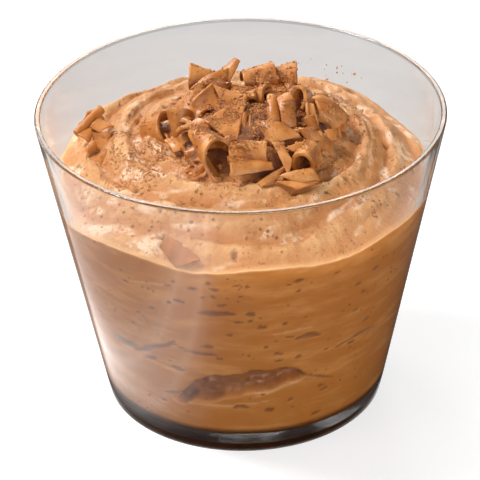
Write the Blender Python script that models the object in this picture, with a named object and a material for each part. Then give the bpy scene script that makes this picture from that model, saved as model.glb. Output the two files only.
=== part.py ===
"""Chocolate mousse in a clear tapered tumbler, topped with milk-chocolate curls.

Run with: blender --background --python part.py

The frame's origin is the middle of the tumbler's foot, on the surface it stands on, with +Z up. The front
is -Y. The tumbler, the mousse in it and each pile of chocolate are separate closed solids, in metres, and
every solid keeps a clearance to its neighbours. Angles round the tumbler run from the front towards +X.
"""

import math

import bmesh
import bpy
from mathutils import Matrix, Vector, noise

MM = 0.001

# Tumbler
HEIGHT = 69.4 * MM
RIM_RADIUS = 45.0 * MM
FOOT_RADIUS = 30.8 * MM
RIM_WALL = 1.3 * MM
FOOT_WALL = 1.9 * MM
HEEL_RADIUS = 1.6 * MM
FLOOR_HEIGHT = 5.0 * MM
FLOOR_CORNER = 2.6 * MM
RECESS_RADIUS = 25.5 * MM
RECESS_DEPTH = 0.7 * MM
TUMBLER_STEPS = 64
ARC_STEPS = 5

# Mousse
CLEARANCE = 0.3 * MM
EDGE_HEIGHT = 54.6 * MM
EDGE_TILT = 1.9 * MM
EDGE_WAVE = 0.6 * MM
EDGE_WAVES = 8
EDGE_WAVE_PEAK = math.radians(8)
EDGE_DIP = 2.4 * MM
EDGE_DIP_ANGLE = math.radians(-68)
EDGE_DIP_WIDTH = math.radians(10)
MOUND_HEIGHT = 10.0 * MM
MOUND_FLATNESS = 3.5
SWIRL_HEIGHT = 0.75 * MM
SWIRL_PITCH = 8.5 * MM
SWIRL_ARMS = 2
SWIRL_START = 17.0 * MM
SWIRL_FULL = 27.0 * MM
SWIRL_END = 41.0 * MM
DRIFT_SIZE = 17.0 * MM
DRIFT_TURN = 1.5
CORNER_SHARE = 0.04
MOUSSE_STEPS = 64
SIDE_RINGS = 5
TOP_RINGS = 20

# Chocolate curls
PILE_EDGE = 0.9 * MM
PILE_SEAT = 0.5 * MM
PILE_FLATNESS = 3
CURL_SIZE = 7.5 * MM
CURL_RELIEF = 0.55
OUTLINE_WAVE = 0.045
OUTLINE_LOBES = (5, 9)
HEAP_CENTRE = (3.3 * MM, -1.0 * MM)
HEAP_RADII = (20.0 * MM, 19.5 * MM)
HEAP_HEIGHT = 9.8 * MM
HEAP_MESH = (48, 13)
CLUSTER_CENTRE = (-31.5 * MM, 9.0 * MM)
CLUSTER_RADII = (5.0 * MM, 7.0 * MM)
CLUSTER_HEIGHT = 4.5 * MM
CLUSTER_MESH = (24, 6)
CLUSTER_TURN = math.radians(12)

# Shaving that leans on the glass
SHAVING_LOW_LEFT = Vector((-14.9, -36.5)) * MM
SHAVING_LOW_RIGHT = Vector((-9.3, -38.0)) * MM
SHAVING_TOP_RIGHT = Vector((-15.2, -33.2)) * MM
SHAVING_TOP_LEFT = Vector((-17.0, -34.4)) * MM
SHAVING_THICKNESS = 0.9 * MM
SHAVING_SEAT = 0.9 * MM

SHARP_ANGLE = math.radians(40)
TINY = 1e-7


def clear_scene():
    """Removes everything the file opened with."""
    for obj in list(bpy.data.objects):
        bpy.data.objects.remove(obj)


def make_material(name, colour, roughness, transmission=0.0):
    """A Principled material with one colour."""
    material = bpy.data.materials.new(name)
    material.use_nodes = True
    shader = material.node_tree.nodes["Principled BSDF"]
    shader.inputs["Base Color"].default_value = (*colour, 1.0)
    shader.inputs["Roughness"].default_value = roughness
    shader.inputs["Metallic"].default_value = 0.0
    shader.inputs["Transmission Weight"].default_value = transmission
    return material


def finish_solid(name, bm, material):
    """Turns a closed bmesh into a smooth-shaded object with faces pointing out."""
    bmesh.ops.recalc_face_normals(bm, faces=bm.faces)
    mesh = bpy.data.meshes.new(name)
    bm.to_mesh(mesh)
    bm.free()
    mesh.shade_smooth()
    mesh.set_sharp_from_angle(angle=SHARP_ANGLE)
    mesh.materials.append(material)
    obj = bpy.data.objects.new(name, mesh)
    bpy.context.scene.collection.objects.link(obj)
    return obj


def turned(profile, steps):
    """A closed bmesh made by turning (radius, height) points round Z; both ends lie on the axis."""
    bm = bmesh.new()
    points = [bm.verts.new((radius, 0.0, height)) for radius, height in profile]
    edges = [bm.edges.new(pair) for pair in zip(points, points[1:])]
    bmesh.ops.spin(
        bm,
        geom=points + edges,
        axis=(0, 0, 1),
        cent=(0, 0, 0),
        steps=steps,
        angle=math.tau,
        use_merge=True,
    )
    on_axis = [v for v in bm.verts if v.co.xy.length < TINY]
    bmesh.ops.remove_doubles(bm, verts=on_axis, dist=TINY)
    return bm


def outer_radius(height):
    """The tumbler's outside radius at a height, along its straight wall."""
    return FOOT_RADIUS + (RIM_RADIUS - FOOT_RADIUS) * height / HEIGHT


def inner_radius(height):
    """The tumbler's inside radius at a height, where the wall thins towards the rim."""
    wall = FOOT_WALL + (RIM_WALL - FOOT_WALL) * height / HEIGHT
    return outer_radius(height) - wall


def arc(centre, radius, start, end):
    """(radius, height) points on an arc, at angles in degrees from the outward direction."""
    turns = [math.radians(start + (end - start) * i / ARC_STEPS) for i in range(ARC_STEPS + 1)]
    return [(centre[0] + radius * math.cos(a), centre[1] + radius * math.sin(a)) for a in turns]


def tumbler_profile():
    """The glass section, from the middle of the underside, up the outside and down the inside."""
    slope = math.degrees(math.atan2(RIM_RADIUS - FOOT_RADIUS, HEIGHT))
    heel_middle = (outer_radius(HEEL_RADIUS) - HEEL_RADIUS, HEEL_RADIUS)
    rim_half = RIM_WALL / 2
    rim_middle = (RIM_RADIUS - rim_half, HEIGHT - rim_half)
    corner_height = FLOOR_HEIGHT + FLOOR_CORNER
    corner_middle = (inner_radius(corner_height) - FLOOR_CORNER, corner_height)
    recess_edge = RECESS_RADIUS - 2 * RECESS_DEPTH
    recess = [(0.0, RECESS_DEPTH), (recess_edge, RECESS_DEPTH), (RECESS_RADIUS, 0.0)]
    heel = arc(heel_middle, HEEL_RADIUS, -90, -slope)
    rim = arc(rim_middle, rim_half, -slope, 180 - slope)
    corner = arc(corner_middle, FLOOR_CORNER, -slope, -90)
    return recess + heel + rim + corner + [(0.0, FLOOR_HEIGHT)]


def add_tumbler(material):
    """The clear tumbler: thick foot with a shallow recess under it, tapered wall, rounded rim."""
    return finish_solid("tumbler", turned(tumbler_profile(), TUMBLER_STEPS), material)


def edge_height(angle):
    """Height of the mousse where it meets the glass: higher at the back, in gentle waves."""
    wave = EDGE_WAVE * math.cos(EDGE_WAVES * (angle - EDGE_WAVE_PEAK))
    dip = EDGE_DIP * math.exp(-(((angle - EDGE_DIP_ANGLE) / EDGE_DIP_WIDTH) ** 2))
    return EDGE_HEIGHT - EDGE_TILT * math.cos(angle) + wave - dip


def swirl(x, y):
    """Spoon-drawn ridges that wind outwards round the middle and die away at the glass."""
    angle = math.atan2(x, -y)
    radius = math.hypot(x, y)
    drift = DRIFT_TURN * noise.noise(Vector((x, y, 0.0)) / DRIFT_SIZE)
    phase = math.tau * radius / SWIRL_PITCH + SWIRL_ARMS * angle + drift
    start = min(1.0, max(0.0, (radius - SWIRL_START) / (SWIRL_FULL - SWIRL_START)))
    end = max(0.0, 1 - (radius / SWIRL_END) ** 6)
    return SWIRL_HEIGHT * start * end * math.sin(phase)


def mousse_surface(x, y):
    """Height of the mousse's top: a flattened mound over the wavy edge, with the swirl on it."""
    edge = edge_height(math.atan2(x, -y))
    share = min(1.0, math.hypot(x, y) / (inner_radius(edge) - CLEARANCE))
    mean_edge = EDGE_HEIGHT + (edge - EDGE_HEIGHT) * share**2
    return mean_edge + MOUND_HEIGHT * (1 - share**MOUND_FLATNESS) + swirl(x, y)


def mousse_place(share, level, angle):
    """Where a point of the unit drum goes: share of the radius, level of the side, angle round."""
    base = FLOOR_HEIGHT + CLEARANCE
    height = base + level * (edge_height(angle) - base)
    radius = share * (inner_radius(height) - CLEARANCE)
    x = radius * math.sin(angle)
    y = -radius * math.cos(angle)
    if level == 1.0:
        height = mousse_surface(x, y)
    return Vector((x, y, height))


def mousse_profile():
    """The unit drum's section: half the floor, a cut corner, the side and half the top."""
    floor = [(0.0, 0.0), (0.5, 0.0), (1 - 2 * CORNER_SHARE, 0.0), (1 - CORNER_SHARE / 2, CORNER_SHARE / 3)]
    side = [(1.0, CORNER_SHARE + (1 - CORNER_SHARE) * i / SIDE_RINGS) for i in range(SIDE_RINGS)]
    top = [(1 - i / TOP_RINGS, 1.0) for i in range(TOP_RINGS + 1)]
    return floor + side + top


def add_mousse(material):
    """The mousse: it fills the tumbler and stands in a swirled mound above its edge."""
    bm = turned(mousse_profile(), MOUSSE_STEPS)
    for vert in bm.verts:
        share = vert.co.xy.length
        level = 1.0 if vert.co.z > 1 - TINY else vert.co.z
        vert.co = mousse_place(share, level, math.atan2(vert.co.x, -vert.co.y))
    return finish_solid("mousse", bm, material)


def pile_relief(x, y):
    """Share of a pile's height: every curl rises to a blunt tip between creases."""
    near = noise.voronoi(Vector((x, y, 0.0)) / CURL_SIZE)[0][0]
    return 1.0 - CURL_RELIEF * min(1.0, near)


def pile_outline(angle):
    """How far a pile's outline lies from its ellipse, as a factor."""
    few, many = OUTLINE_LOBES
    return 1 + OUTLINE_WAVE * (math.sin(few * angle + 1.0) + math.sin(many * angle))


def add_pile(name, centre, radii, height, mesh_size, material, turn=0.0):
    """A pile of curls on the mousse, as one solid out to its uneven outline."""
    steps, ring_count = mesh_size
    rings = [i / ring_count for i in range(ring_count + 1)]
    profile = [(s, 0.0) for s in rings] + [(s, 1.0) for s in reversed(rings)]
    bm = turned(profile, steps)
    for vert in bm.verts:
        share = vert.co.xy.length
        angle = math.atan2(vert.co.y, vert.co.x)
        reach = share * pile_outline(angle)
        flat = Vector((radii[0] * math.cos(angle), radii[1] * math.sin(angle), 0.0)) * reach
        flat.rotate(Matrix.Rotation(turn, 3, "Z"))
        x = centre[0] + flat.x
        y = centre[1] + flat.y
        raised = 0.0
        if vert.co.z > 0.5:
            raised = PILE_EDGE + height * (1 - share**PILE_FLATNESS) * pile_relief(x, y)
        vert.co = Vector((x, y, mousse_surface(x, y) + PILE_SEAT + raised))
    return finish_solid(name, bm, material)


def add_wall_shaving(material):
    """One flat shaving that lies on the mousse's slope against the glass."""
    bm = bmesh.new()
    bmesh.ops.create_grid(bm, x_segments=8, y_segments=6, size=0.5)
    for vert in bm.verts:
        across = vert.co.x + 0.5
        up = vert.co.y + 0.5
        low = SHAVING_LOW_LEFT.lerp(SHAVING_LOW_RIGHT, across)
        place = low.lerp(SHAVING_TOP_LEFT.lerp(SHAVING_TOP_RIGHT, across), up)
        height = mousse_surface(place.x, place.y) + SHAVING_SEAT
        vert.co = Vector((place.x, place.y, height))
    bm.normal_update()
    if sum(face.normal.z for face in bm.faces) > 0:
        bmesh.ops.reverse_faces(bm, faces=bm.faces)
        bm.normal_update()
    bmesh.ops.solidify(bm, geom=bm.faces[:], thickness=SHAVING_THICKNESS)
    return finish_solid("wall_shaving", bm, material)


def main():
    """Builds the five solids."""
    clear_scene()
    glass = make_material("clear_glass", (0.93, 0.95, 0.95), 0.02, transmission=1.0)
    mousse = make_material("milk_chocolate_mousse", (0.58, 0.32, 0.15), 0.55)
    chocolate = make_material("milk_chocolate", (0.42, 0.19, 0.075), 0.4)
    add_tumbler(glass)
    add_mousse(mousse)
    add_pile("curl_heap", HEAP_CENTRE, HEAP_RADII, HEAP_HEIGHT, HEAP_MESH, chocolate)
    add_pile(
        "curl_cluster",
        CLUSTER_CENTRE,
        CLUSTER_RADII,
        CLUSTER_HEIGHT,
        CLUSTER_MESH,
        chocolate,
        CLUSTER_TURN,
    )
    add_wall_shaving(chocolate)


main()
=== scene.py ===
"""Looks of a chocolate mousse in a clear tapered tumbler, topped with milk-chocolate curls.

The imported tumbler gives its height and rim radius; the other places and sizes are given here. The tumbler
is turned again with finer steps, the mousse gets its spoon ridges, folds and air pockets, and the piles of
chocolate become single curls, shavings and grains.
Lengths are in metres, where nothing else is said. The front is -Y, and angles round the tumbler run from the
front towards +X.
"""

from __future__ import annotations

import logging
import math
import random
from collections.abc import Sequence
from dataclasses import dataclass, field
from enum import Enum

import bmesh
import bpy
from mathutils import Matrix, Vector, noise
from mathutils.bvhtree import BVHTree
from mathutils.kdtree import KDTree


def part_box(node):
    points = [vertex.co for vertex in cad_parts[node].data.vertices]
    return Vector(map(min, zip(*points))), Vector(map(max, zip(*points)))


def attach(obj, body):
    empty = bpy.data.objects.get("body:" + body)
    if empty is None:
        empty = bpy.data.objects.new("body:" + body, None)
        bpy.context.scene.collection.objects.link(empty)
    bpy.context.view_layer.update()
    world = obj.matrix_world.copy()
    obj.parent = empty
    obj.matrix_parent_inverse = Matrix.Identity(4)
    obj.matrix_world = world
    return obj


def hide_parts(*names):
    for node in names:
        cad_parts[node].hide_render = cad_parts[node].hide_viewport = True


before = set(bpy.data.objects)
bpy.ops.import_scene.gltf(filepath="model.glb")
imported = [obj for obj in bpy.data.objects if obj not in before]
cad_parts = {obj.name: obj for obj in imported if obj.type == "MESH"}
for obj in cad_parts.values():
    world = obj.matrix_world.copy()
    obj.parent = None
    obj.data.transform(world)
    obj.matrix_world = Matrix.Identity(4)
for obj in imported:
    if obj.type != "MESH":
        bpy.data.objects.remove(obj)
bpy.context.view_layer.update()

MM = 0.001
TINY = 1e-7
DROP_HEIGHT = 0.09  # grains fall from here
BATCH = 50  # grains shaped together, which keeps the script quick
RIPPLE_SEED = 5  # without a seed, noise_vector takes its offsets from the clock
HEAP_MIDDLE = (2.5, -3.0)  # the middle of the heap of curls in plan, in mm
log = logging.getLogger("mousse")

Colour = tuple[float, float, float]
Point = tuple[float, float, float]
Span = tuple[float, ...]  # from and to, then, where they aren't 0 and 1, the values that they map to
Profile = list[tuple[float, float]]
Socket = bpy.types.NodeSocket
Material = bpy.types.Material


class Slot(str, Enum):
    """The record's material slots."""

    GLASS = "clear_glass"
    MOUSSE = "milk_chocolate_mousse"
    CURLS = "milk_chocolate"


# ---------------------------------------------------------------- shapes


def smooth_step(low: float, high: float, value: float) -> float:
    """Share from 0 at low to 1 at high, with soft ends.

    Args:
        low: where the share is 0.
        high: where the share is 1; it may lie below low.
        value: the value to place between them.

    Returns:
        The share, from 0 to 1.
    """
    share = min(1.0, max(0.0, (value - low) / (high - low)))
    return share * share * (3 - 2 * share)


def bell(value: float, middle: float, width: float) -> float:
    """A soft bump of height 1 at middle that is gone a few widths away."""
    return math.exp(-(((value - middle) / width) ** 2))


def rough(point: Vector, size: float, octaves: int = 3) -> float:
    """Layered noise from about -1 to 1.

    Args:
        point: where to read it.
        size: the width of its largest lumps.
        octaves: how many finer layers it has.

    Returns:
        The noise's value.
    """
    return noise.fractal(point / size, 0.6, 2.0, octaves, noise_basis="PERLIN_NEW")


def turned(profile: Profile, steps: int) -> bmesh.types.BMesh:
    """Turns a half section round Z into a closed shell.

    Args:
        profile: (radius, height) points whose two ends lie on the axis.
        steps: how many steps make the full turn.

    Returns:
        The shell's mesh.
    """
    bm = bmesh.new()
    points = [bm.verts.new((radius, 0.0, height)) for radius, height in profile]
    edges = [bm.edges.new(pair) for pair in zip(points, points[1:])]
    turn = {"axis": (0, 0, 1), "cent": (0, 0, 0), "angle": math.tau}
    bmesh.ops.spin(bm, geom=points + edges, steps=steps, use_merge=True, **turn)
    on_axis = [v for v in bm.verts if v.co.xy.length < TINY]
    bmesh.ops.remove_doubles(bm, verts=on_axis, dist=TINY)
    bmesh.ops.recalc_face_normals(bm, faces=bm.faces)
    return bm


def arc(centre: tuple[float, float], radius: float, start: float, end: float, steps: int) -> Profile:
    """Points on an arc of a section.

    Args:
        centre: the arc's (radius, height) centre.
        radius: the arc's own radius.
        start: first angle in degrees from the outward direction.
        end: last angle in degrees.
        steps: how many stretches the arc has.

    Returns:
        The arc's (radius, height) points.
    """
    turns = [math.radians(start + (end - start) * i / steps) for i in range(steps + 1)]
    return [(centre[0] + radius * math.cos(a), centre[1] + radius * math.sin(a)) for a in turns]


def add_piece(
    name: str,
    bm: bmesh.types.BMesh,
    material: Material,
    nodes: tuple[str, ...] = (),
    sharp: float = 60.0,
) -> bpy.types.Object:
    """Makes a finished piece of the object from a mesh.

    Args:
        name: the piece's name.
        bm: its mesh, which is used up.
        material: its finish.
        nodes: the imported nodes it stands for.
        sharp: edges steeper than this many degrees stay sharp.

    Returns:
        The new object, riding on the root body.
    """
    mesh = bpy.data.meshes.new(name)
    bm.to_mesh(mesh)
    bm.free()
    mesh.shade_smooth()
    mesh.set_sharp_from_angle(angle=math.radians(sharp))
    mesh.materials.append(material)
    piece = bpy.data.objects.new(name, mesh)
    bpy.context.scene.collection.objects.link(piece)
    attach(piece, "root")
    if nodes:
        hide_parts(*nodes)
    log.info("%s: %d faces", name, len(mesh.polygons))
    return piece


# ---------------------------------------------------------------- node trees


class Tree:
    """A short way to write a shader node tree."""

    def __init__(self, tree: bpy.types.NodeTree) -> None:
        """Empties the tree and keeps it."""
        self.tree = tree
        tree.nodes.clear()

    def add(self, kind: str, inputs: dict | None = None, **settings: object) -> bpy.types.Node:
        """Adds a node.

        Args:
            kind: the node's type, without the leading ShaderNode.
            inputs: values or other nodes' outputs, by input name or number.
            settings: the node's own properties.

        Returns:
            The new node.
        """
        node = self.tree.nodes.new("ShaderNode" + kind)
        for key, value in settings.items():
            setattr(node, key, value)
        for key, value in (inputs or {}).items():
            if isinstance(value, Socket):
                self.tree.links.new(value, node.inputs[key])
            else:
                node.inputs[key].default_value = value
        return node

    def place(self) -> Socket:
        """The piece's own coordinates, in metres."""
        return self.add("TexCoord").outputs["Object"]

    def stored(self, name: str) -> Socket:
        """A share stored on the mesh under a name."""
        return self.add("Attribute", attribute_name=name).outputs["Fac"]

    def math(self, operation: str, first: object, second: object = 0.5, third: object = 0.0) -> Socket:
        """The result of a sum on two or three values or outputs."""
        return self.add("Math", {0: first, 1: second, 2: third}, operation=operation).outputs[0]

    def noise(self, where: object, scale: float, detail: float = 4.0, spread: float = 0.55) -> Socket:
        """Noise from 0 to 1, with scale lumps in a metre."""
        inputs = {"Vector": where, "Scale": scale, "Detail": detail, "Roughness": spread}
        return self.add("TexNoise", inputs).outputs["Fac"]

    def span(
        self, value: object, low: float, high: float, to_low: float = 0.0, to_high: float = 1.0
    ) -> Socket:
        """Maps a value from one span to another, with soft ends and no overshoot."""
        inputs = {"Value": value, "From Min": low, "From Max": high, "To Min": to_low, "To Max": to_high}
        return self.add("MapRange", inputs, interpolation_type="SMOOTHSTEP").outputs["Result"]

    def blend(self, factor: object, first: object, second: object, mode: str = "MIX") -> Socket:
        """Mixes two colours.

        Args:
            factor: 0 for the first colour, 1 for the second.
            first: a colour or an output.
            second: a colour or an output.
            mode: how they are mixed.

        Returns:
            The mixed colour.
        """
        colours = [(*c, 1.0) if isinstance(c, tuple) and len(c) == 3 else c for c in (first, second)]
        node = self.add("Mix", data_type="RGBA", blend_type=mode)
        for socket, value in zip((node.inputs[0], node.inputs[6], node.inputs[7]), (factor, *colours)):
            if isinstance(value, Socket):
                self.tree.links.new(value, socket)
            else:
                socket.default_value = value
        return node.outputs[2]

    def bump(self, height: object, strength: float, distance: float, normal: object = None) -> Socket:
        """The surface normal, raised by a height.

        Args:
            height: the height's output.
            strength: how much of it shows.
            distance: how tall a height of 1 is.
            normal: a normal to start from, where it isn't the surface's own.

        Returns:
            The normal.
        """
        inputs = {"Height": height, "Strength": strength, "Distance": distance}
        if normal is not None:
            inputs["Normal"] = normal
        return self.add("Bump", inputs).outputs["Normal"]

    def dust(self, where: object, scale: float, share: object, edge: float, core: float) -> Socket:
        """Mask of fine dust, one speck to a cell, which is solid out to core and gone at edge."""
        inputs = {"Vector": where, "Scale": scale, "Share": share, "Edge": edge, "Core": core}
        return self.add("Group", inputs, node_tree=dust_group()).outputs["Mask"]

    def finish(self, shader: Socket) -> None:
        """Shows the shader on the surface."""
        self.add("OutputMaterial", {"Surface": shader})


def dust_group() -> bpy.types.NodeTree:
    """Builds fine dust as a node group the first time, and finds it again after that.

    Returns:
        The group, which takes Vector, Scale, Share, Edge and Core and gives Mask.
    """
    name = "fine_dust"
    if name in bpy.data.node_groups:
        return bpy.data.node_groups[name]
    group = bpy.data.node_groups.new(name, "ShaderNodeTree")
    group.interface.new_socket("Vector", in_out="INPUT", socket_type="NodeSocketVector")
    for number in ("Scale", "Share", "Edge", "Core"):
        group.interface.new_socket(number, in_out="INPUT", socket_type="NodeSocketFloat")
    group.interface.new_socket("Mask", in_out="OUTPUT", socket_type="NodeSocketFloat")
    tree = Tree(group)
    given = group.nodes.new("NodeGroupInput").outputs
    inputs = {"Vector": given["Vector"], "Scale": given["Scale"], "Randomness": 1.0}
    cells = tree.add("TexVoronoi", inputs).outputs
    chance = tree.add("SeparateColor", {0: cells["Color"]}).outputs[0]
    chosen = tree.math("LESS_THAN", chance, given["Share"])
    speck = tree.span(cells["Distance"], given["Edge"], given["Core"])
    mask = tree.math("MULTIPLY", chosen, speck)
    group.links.new(mask, group.nodes.new("NodeGroupOutput").inputs["Mask"])
    return group


def new_material(name: str) -> tuple[Material, Tree]:
    """A named material and its empty node tree.

    Args:
        name: the material's name.

    Returns:
        The material and its tree.
    """
    material = bpy.data.materials.new(name)
    material.use_nodes = True
    return material, Tree(material.node_tree)


@dataclass(frozen=True)
class GlassFinish:
    """Clear polished glass that lets the lamps' light through to what it holds. A grey tint at the rim is
    painted dark lines, standing in for the dark surroundings seen through it.
    """

    tint: Colour = (0.93, 0.925, 0.92)
    # Painted dark lines: the grey that tints the rim from rim_from up to rim_full.
    rim_painted_dark: Colour = (0.44, 0.48, 0.52)
    rim_from: float = 68.7 * MM
    rim_full: float = 69.05 * MM
    roughness: float = 0.0
    ior: float = 1.5

    def make(self) -> Material:
        """Builds the material.

        Returns:
            The glass material.
        """
        material, tree = new_material("clear_glass")
        streaks = tree.add("Mapping", {"Vector": tree.place(), "Scale": (1.0, 1.0, 0.12)}).outputs[0]
        ripple = tree.bump(tree.noise(streaks, 140.0, 2.0), 0.05, 0.001)
        height = tree.add("SeparateXYZ", {0: tree.place()}).outputs["Z"]
        # Painted dark lines: the rim is tinted grey to stand in for the dark surroundings seen through it.
        colour = tree.blend(tree.span(height, self.rim_from, self.rim_full), self.tint, self.rim_painted_dark)
        glass = tree.add(
            "BsdfPrincipled",
            {
                "Base Color": colour,
                "Roughness": self.roughness,
                "IOR": self.ior,
                "Transmission Weight": 1.0,
                "Normal": ripple,
            },
        )
        clear = tree.add("BsdfTransparent", {"Color": (*self.tint, 1.0)})
        lamp = tree.add("LightPath").outputs["Is Shadow Ray"]
        mix = tree.add("MixShader", {0: lamp, 1: glass.outputs[0], 2: clear.outputs[0]})
        tree.finish(mix.outputs[0])
        return material


@dataclass(frozen=True)
class MousseFinish:
    """Airy milk-chocolate mousse: matt and porous on top, smooth and deeper in colour where glass wets it.
    Its colour also holds painted light: highlights on the crests and along the edge, sheen at the left and
    back, and shade in pits, hollows and the underside.
    """

    # light is the painted highlight on the swirl's crests and along the edge; middle is the painted shade in
    # its valleys.
    light: Colour = (0.80, 0.44, 0.185)
    middle: Colour = (0.55, 0.205, 0.050)
    # Creamy smears, which at the left and the back also stand for painted sheen.
    cream_and_sheen: Colour = (0.86, 0.59, 0.38)
    speck: Colour = (0.36, 0.115, 0.028)
    wetted: Colour = (0.56, 0.208, 0.037)
    smeared: Colour = (0.72, 0.33, 0.090)
    # Painted shade in pits, pores, hollows and on the underside.
    pocket_shade: Colour = (0.24, 0.070, 0.012)
    mottle_scale: float = 170.0
    patch_scale: float = 420.0
    dust_scale: float = 1900.0
    smear_scale: float = 60.0
    pore_scale: float = 620.0
    grain_scale: float = 650.0
    gloss_scale: float = 300.0

    def top_colour(self, tree: Tree, where: Socket) -> Socket:
        """Colour of the swirled top: painted highlights on the crests and painted shade in the valleys,
        creamy smears that are partly painted sheen, and fine chocolate dust.

        Args:
            tree: the material's node tree.
            where: the place on the mousse.

        Returns:
            The colour.
        """
        mottle = tree.span(tree.noise(where, self.mottle_scale, 6.0, 0.65), 0.35, 0.68)
        # Painted highlight on the crests and painted shade in the valleys, varied by the mottle.
        painted_highlight = tree.math("MULTIPLY", tree.math("MULTIPLY_ADD", mottle, 0.7, 0.3), tree.stored("crest_painted_light"))
        colour = tree.blend(painted_highlight, self.middle, self.light)
        patches = tree.span(tree.noise(where, self.patch_scale, 5.0, 0.62), 0.38, 0.60)
        # Creamy smears, partly painted sheen at the left and the back.
        colour = tree.blend(tree.math("MULTIPLY", tree.stored("cream_and_sheen"), patches), colour, self.cream_and_sheen)
        dust = tree.dust(where, self.dust_scale, tree.stored("dust"), 0.55, 0.30)
        return tree.blend(tree.math("MULTIPLY", dust, 0.85), colour, self.speck)

    def make(self) -> Material:
        """Builds the material.

        Returns:
            The mousse material.
        """
        material, tree = new_material("milk_chocolate_mousse")
        where = tree.place()
        wall = tree.stored("wall")
        flat = tree.add("Mapping", {"Vector": where, "Scale": (1.0, 1.0, 4.0)}).outputs[0]
        smears = tree.span(tree.noise(flat, self.smear_scale, 6.0, 0.62), 0.42, 0.72)
        side = tree.blend(smears, self.wetted, self.smeared)
        colour = tree.blend(wall, self.top_colour(tree, where), side)
        # Painted highlight: a lighter band along the edge where the mousse meets the glass, and along the
        # creases.
        colour = tree.blend(tree.stored("lip_painted_highlight"), colour, self.light)
        pores = tree.add("TexVoronoi", {"Vector": where, "Scale": self.pore_scale, "Randomness": 1.0})
        few = tree.span(tree.noise(where, 160.0, 2.0), 0.5, 0.62)
        pore = tree.math("MULTIPLY", tree.span(pores.outputs["Distance"], 0.30, 0.12), few)
        # Painted shade: pits, pores, hollows and the underside are darkened.
        painted_shade = tree.math("MAXIMUM", tree.stored("pocket_shade"), tree.math("MULTIPLY", pore, 0.7))
        colour = tree.blend(painted_shade, colour, self.pocket_shade)
        grain = tree.noise(where, self.grain_scale, 6.0, 0.68)
        height = tree.math("SUBTRACT", grain, tree.math("MULTIPLY", pore, 0.5))
        strength = tree.span(wall, 0.0, 1.0, 0.75, 0.12)
        normal = tree.bump(height, strength, 0.0009)
        gloss = tree.span(tree.noise(where, self.gloss_scale, 4.0), 0.3, 0.7, 0.30, 0.50)
        shader = tree.add(
            "BsdfPrincipled",
            {
                "Base Color": colour,
                "Roughness": gloss,
                "Specular IOR Level": 0.5,
                "Subsurface Weight": 0.12,
                "Subsurface Radius": (0.0014, 0.0006, 0.0003),
                "Subsurface Scale": 1.0,
                "Normal": normal,
            },
        )
        tree.finish(shader.outputs[0])
        return material


@dataclass(frozen=True)
class ChocolateFinish:
    """Milk chocolate shaved into curls: satin, with faint scrape lines and fine dust on what faces up."""

    name: str = "milk_chocolate"
    light: Colour = (0.69, 0.293, 0.080)
    dark: Colour = (0.48, 0.154, 0.025)
    roughness: float = 0.38
    relief: float = 0.25
    dust: Colour = (0.40, 0.14, 0.036)
    dusting: float = 0.35
    dust_scale: float = 2600.0
    patch_scale: float = 240.0
    line_scale: float = 2600.0

    def make(self) -> Material:
        """Builds the material.

        Returns:
            The chocolate material.
        """
        material, tree = new_material(self.name)
        where = tree.place()
        patches = tree.span(tree.noise(where, self.patch_scale, 4.0), 0.36, 0.66)
        colour = tree.blend(patches, self.dark, self.light)
        facing = tree.add("SeparateXYZ", {0: tree.add("NewGeometry").outputs["Normal"]}).outputs["Z"]
        here = tree.span(tree.noise(where, 170.0, 3.0), 0.40, 0.66, 0.0, self.dusting)
        share = tree.math("MULTIPLY", tree.span(facing, 0.25, 0.8), here)
        dot = tree.dust(where, self.dust_scale, share, 0.5, 0.2)
        colour = tree.blend(tree.math("MULTIPLY", dot, 0.8), colour, self.dust)
        drawn_out = tree.add("Mapping", {"Vector": where, "Scale": (0.35, 1.0, 1.0)}).outputs[0]
        lines = tree.noise(drawn_out, self.line_scale, 2.0)
        height = tree.math("MULTIPLY_ADD", dot, 1.5, lines)
        shader = tree.add(
            "BsdfPrincipled",
            {
                "Base Color": colour,
                "Roughness": self.roughness,
                "Specular IOR Level": 0.5,
                "Subsurface Weight": 0.1,
                "Subsurface Radius": (0.0008, 0.0003, 0.0001),
                "Subsurface Scale": 1.0,
                "Normal": tree.bump(height, self.relief, 0.0002),
            },
        )
        tree.finish(shader.outputs[0])
        return material


# ---------------------------------------------------------------- tumbler


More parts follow.
